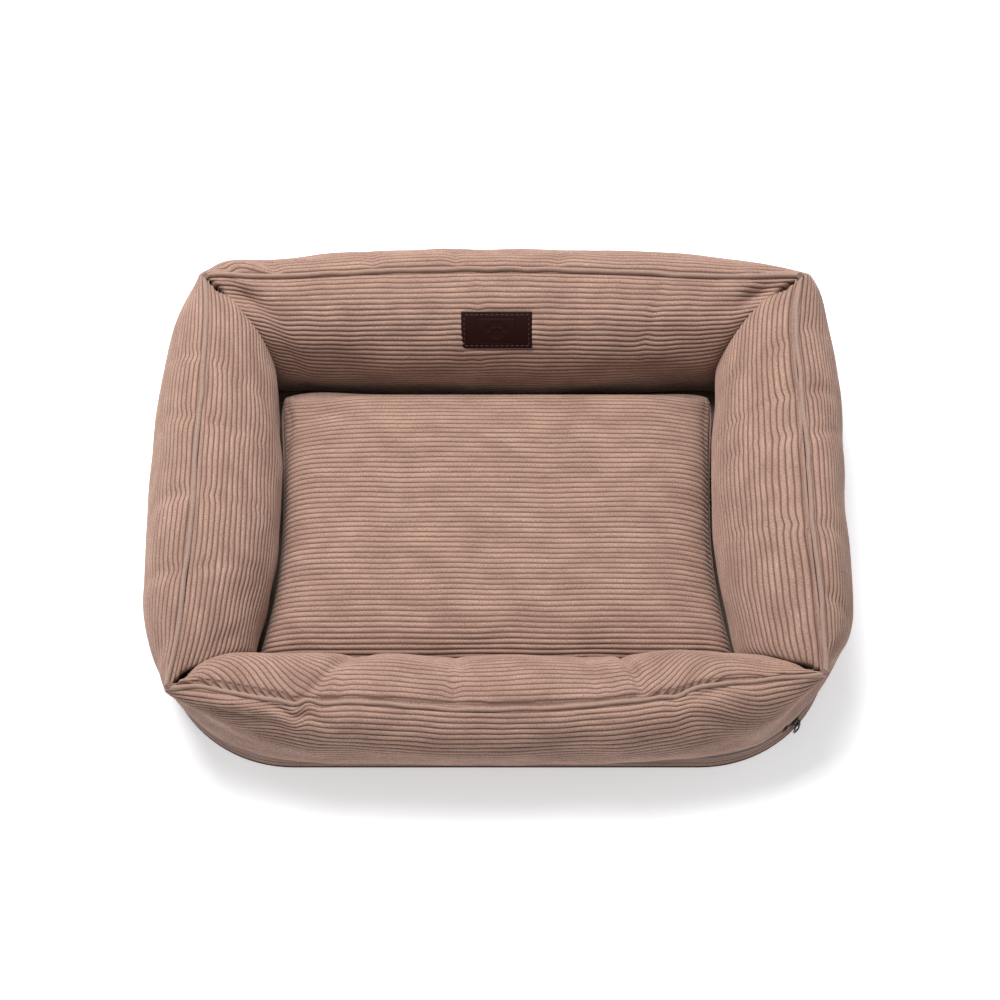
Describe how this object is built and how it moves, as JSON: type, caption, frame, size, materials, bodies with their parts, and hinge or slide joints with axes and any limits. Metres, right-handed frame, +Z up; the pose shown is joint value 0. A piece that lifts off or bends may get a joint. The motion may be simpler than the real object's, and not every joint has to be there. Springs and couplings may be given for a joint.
{
  "type": "pet cushion bed",
  "caption": "Rectangular corduroy pet bed: stuffed bolster walls with a welted top seam round a loose zipped seat cushion, on a zipped non-slip base.",
  "frame": {"origin": "on the floor under the middle of the bed's bounding box", "axes": "+X to the right of someone facing the front, +Y towards the rear wall that carries the label, +Z up"},
  "size_m": [0.7024, 0.5302, 0.1723],
  "materials": {
    "corduroy": "wide-wale corduroy, pinkish taupe, matt with a pile sheen",
    "fibre_fill": "white polyester fibre",
    "sole_cloth": "non-slip cloth with rubber dots",
    "lining_cloth": "plain woven lining",
    "label_leather": "dark oxblood, debossed",
    "thread": "polyester sewing thread",
    "zip_tape": "woven tape",
    "zip_coil": "nylon coil",
    "zip_metal": "dark grey zinc alloy"
  },
  "bodies": {
    "bed": {"walls_outer_panel": "corduroy", "rear_wall_inner_panel": "corduroy", "rear_wall_fill": "fibre_fill", "rear_wall_welt": "corduroy", "front_wall_inner_panel": "corduroy", "front_wall_fill": "fibre_fill", "front_wall_welt": "corduroy", "left_wall_inner_panel": "corduroy", "left_wall_fill": "fibre_fill", "left_wall_welt": "corduroy", "right_wall_inner_panel": "corduroy", "right_wall_fill": "fibre_fill", "right_wall_welt": "corduroy", "corner_tacks": "thread", "base_sole": "sole_cloth", "base_band": "corduroy", "base_pad": "fibre_fill", "base_lining": "lining_cloth", "base_zip_tape_lower": "zip_tape", "base_zip_tape_upper": "zip_tape", "base_zip_coil_lower": "zip_coil", "base_zip_coil_upper": "zip_coil", "base_zip_stop": "zip_metal", "label_patch": "label_leather", "label_stitching": "thread"},
    "cushion": {"cushion_top_cover": "corduroy", "cushion_bottom_cover": "corduroy", "cushion_fill": "fibre_fill", "cushion_piping": "corduroy", "cushion_zip_tape_lower": "zip_tape", "cushion_zip_tape_upper": "zip_tape", "cushion_zip_coil_lower": "zip_coil", "cushion_zip_coil_upper": "zip_coil", "cushion_zip_stops": "zip_metal"},
    "base_zip_slider": {"base_zip_slider": "zip_metal"},
    "base_zip_pull": {"base_zip_pull": "zip_metal"},
    "cushion_zip_slider": {"cushion_zip_slider": "zip_metal"},
    "cushion_zip_pull": {"cushion_zip_pull": "zip_metal"}
  },
  "joints": [
    {"name": "cushion_lift", "type": "slide", "parent": "bed", "child": "cushion", "axis": [0, 0, 1], "range_m": [0, 0.2]},
    {"name": "base_zip_run", "type": "hinge", "parent": "bed", "child": "base_zip_slider", "pos_m": [0.197, -0.113, 0.027], "axis": [0, 0, 1], "range_deg": [0, 45]},
    {"name": "base_zip_pull_swing", "type": "hinge", "parent": "base_zip_slider", "child": "base_zip_pull", "pos_m": [0.29207, -0.20807, 0.027], "axis": [-0.7071, -0.7071, 0], "range_deg": [0, 120]},
    {"name": "cushion_zip_run", "type": "slide", "parent": "cushion", "child": "cushion_zip_slider", "axis": [1, 0, 0], "range_m": [0, 0.31]},
    {"name": "cushion_zip_pull_swing", "type": "hinge", "parent": "cushion_zip_slider", "child": "cushion_zip_pull", "pos_m": [-0.1557, 0.13345, 0.0517], "axis": [1, 0, 0], "range_deg": [0, 35]}
  ]
}
